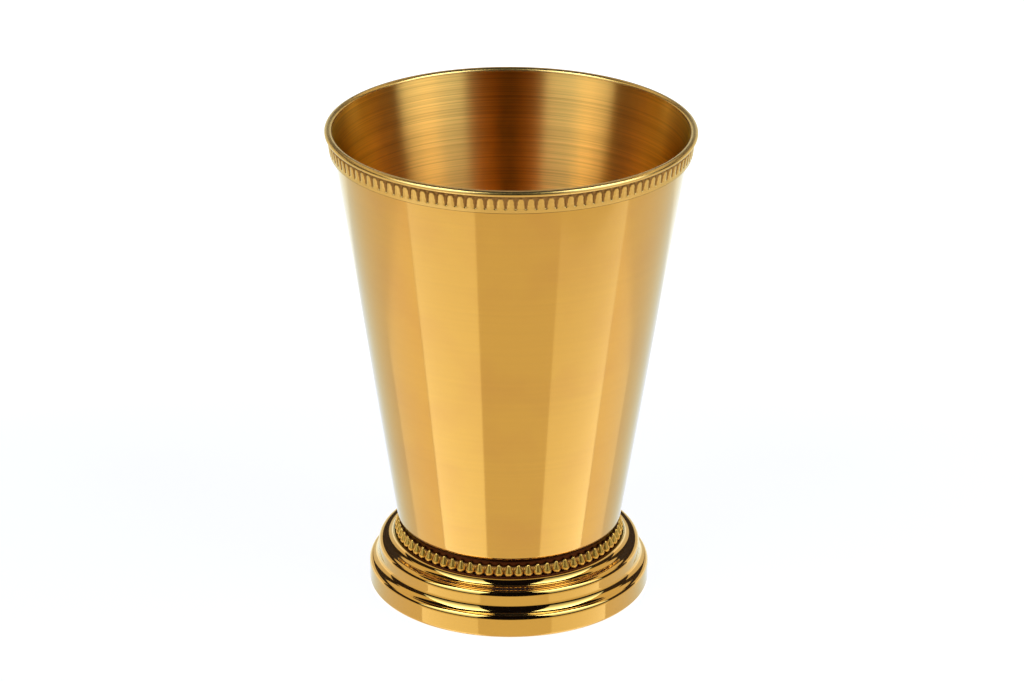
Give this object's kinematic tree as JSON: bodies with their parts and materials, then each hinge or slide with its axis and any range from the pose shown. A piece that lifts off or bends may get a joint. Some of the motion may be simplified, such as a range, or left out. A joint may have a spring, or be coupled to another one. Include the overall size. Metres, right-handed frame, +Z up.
{
  "type": "julep cup",
  "caption": "Footed julep cup: a tapered metal tumbler with a rolled lip and a fluted rim band, standing on a stepped round foot with a beaded collar.",
  "frame": {"origin": "on the table under the middle of the foot, on the cup's own axis", "axes": "+Z up along the cup's axis, through the mouth; the cup is turned about +Z, so +X and +Y are free"},
  "size_m": [0.0808, 0.0808, 0.108],
  "materials": {
    "gold_satin": "gold-toned stainless steel, softly polished outside and satin-brushed inside",
    "gold_polished": "gold-toned stainless steel, mirror polished",
    "gold_braze": "brazed fillet, polished over and gold-toned"
  },
  "bodies": {
    "root": {"cup_body": "gold_satin", "rim_band": "gold_polished", "rim_braze": "gold_braze", "bead_ring": "gold_polished", "foot_shell": "gold_polished", "foot_braze": "gold_braze", "base_plate": "gold_satin"}
  },
  "joints": []
}
